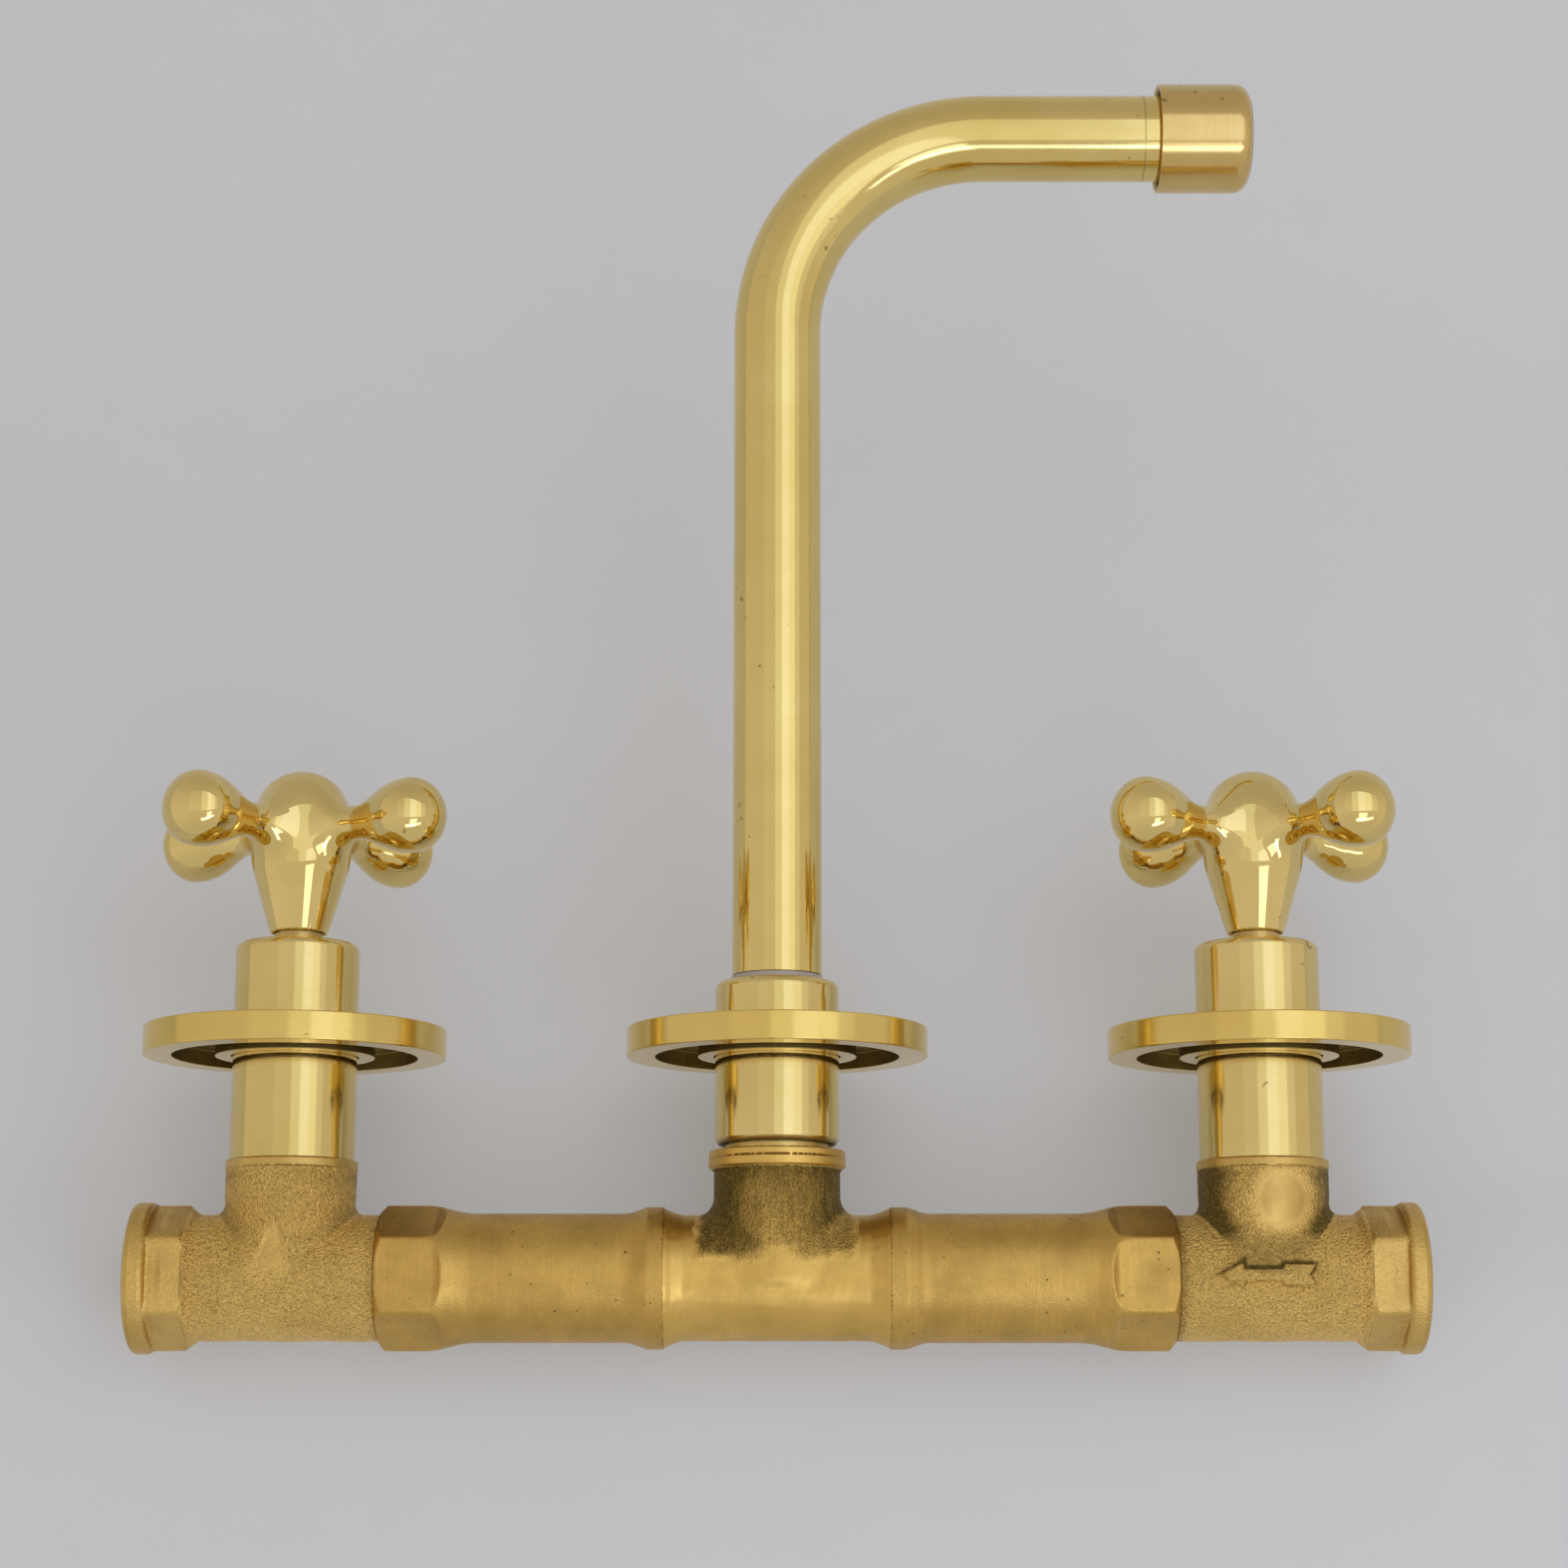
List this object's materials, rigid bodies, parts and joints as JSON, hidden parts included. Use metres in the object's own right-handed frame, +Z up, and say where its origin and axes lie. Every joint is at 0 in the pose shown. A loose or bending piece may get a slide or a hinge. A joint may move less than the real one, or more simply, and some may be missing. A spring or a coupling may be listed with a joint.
{
  "type": "wall-mounted faucet",
  "caption": "Wall-mounted kitchen faucet in brass with a behind-the-wall manifold, cross handles, round wall plates and a long swivel spout with a right-angle bend.",
  "frame": {"origin": "on the spout's axis, in the plane of the backs of the wall plates (the finished wall face)", "axes": "+Z up, +X along the wall from the hot valve to the cold valve, +Y into the wall; the spout stands out along -Y"},
  "size_m": [0.268, 0.2798, 0.0654],
  "materials": {
    "cast_brass": "as cast, brushed in places",
    "machined_brass": "turned and ground",
    "polished_brass": "mirror polished, unlacquered",
    "black_rubber": "matte",
    "ceramic": "lapped",
    "fibre_washer": "matte",
    "pale_nylon": "satin",
    "stainless_steel": "bright",
    "dark_plastic": "satin"
  },
  "bodies": {
    "manifold": {"valve_body_hot": "cast_brass", "valve_body_cold": "cast_brass", "connector_hot": "machined_brass", "connector_cold": "machined_brass", "union_washer_hot": "fibre_washer", "union_washer_cold": "fibre_washer", "tee": "cast_brass", "cartridge_hot": "machined_brass", "cartridge_cold": "machined_brass", "seat_seal_hot": "black_rubber", "seat_seal_cold": "black_rubber", "fixed_disc_hot": "ceramic", "fixed_disc_cold": "ceramic", "cartridge_o_ring_hot": "black_rubber", "cartridge_o_ring_cold": "black_rubber", "friction_washer_hot": "pale_nylon", "friction_washer_cold": "pale_nylon", "valve_sleeve_hot": "polished_brass", "valve_sleeve_cold": "polished_brass", "spout_nipple": "machined_brass", "spout_collar": "polished_brass", "spout_bush": "pale_nylon", "thrust_washer": "pale_nylon"},
    "hot_handle": {"handle_hot": "polished_brass", "grub_screw_hot": "stainless_steel", "spindle_hot": "machined_brass", "spindle_extension_hot": "machined_brass", "extension_screw_hot": "stainless_steel", "moving_disc_hot": "ceramic", "circlip_hot": "stainless_steel", "spindle_o_rings_hot": "black_rubber"},
    "cold_handle": {"handle_cold": "polished_brass", "grub_screw_cold": "stainless_steel", "spindle_cold": "machined_brass", "spindle_extension_cold": "machined_brass", "extension_screw_cold": "stainless_steel", "moving_disc_cold": "ceramic", "circlip_cold": "stainless_steel", "spindle_o_rings_cold": "black_rubber"},
    "spout": {"spout_tube": "polished_brass", "spout_tail": "machined_brass", "tail_o_rings": "black_rubber", "snap_ring": "stainless_steel", "outlet_adaptor": "machined_brass", "outlet_washer": "black_rubber", "aerator_insert": "dark_plastic", "aerator_screen": "stainless_steel", "aerator_cap": "polished_brass"},
    "hot_wall_plate": {"escutcheon_hot": "polished_brass", "escutcheon_o_ring_hot": "black_rubber"},
    "cold_wall_plate": {"escutcheon_cold": "polished_brass", "escutcheon_o_ring_cold": "black_rubber"},
    "spout_wall_plate": {"escutcheon_spout": "polished_brass", "escutcheon_o_ring_spout": "black_rubber"}
  },
  "joints": [
    {"name": "hot_handle_turn", "type": "hinge", "parent": "manifold", "child": "hot_handle", "pos_m": [-0.1016, 0, 0], "axis": [0, -1, 0], "range_deg": [0, 90]},
    {"name": "cold_handle_turn", "type": "hinge", "parent": "manifold", "child": "cold_handle", "pos_m": [0.1016, 0, 0], "axis": [0, -1, 0], "range_deg": [-90, 0]},
    {"name": "spout_swivel", "type": "hinge", "parent": "manifold", "child": "spout", "pos_m": [0, 0, 0], "axis": [0, -1, 0], "continuous": true},
    {"name": "hot_wall_plate_slide", "type": "slide", "parent": "manifold", "child": "hot_wall_plate", "axis": [0, -1, 0], "range_m": [-0.02, 0.016]},
    {"name": "cold_wall_plate_slide", "type": "slide", "parent": "manifold", "child": "cold_wall_plate", "axis": [0, -1, 0], "range_m": [-0.02, 0.016]},
    {"name": "spout_wall_plate_slide", "type": "slide", "parent": "manifold", "child": "spout_wall_plate", "axis": [0, -1, 0], "range_m": [-0.016, 0.008]}
  ]
}
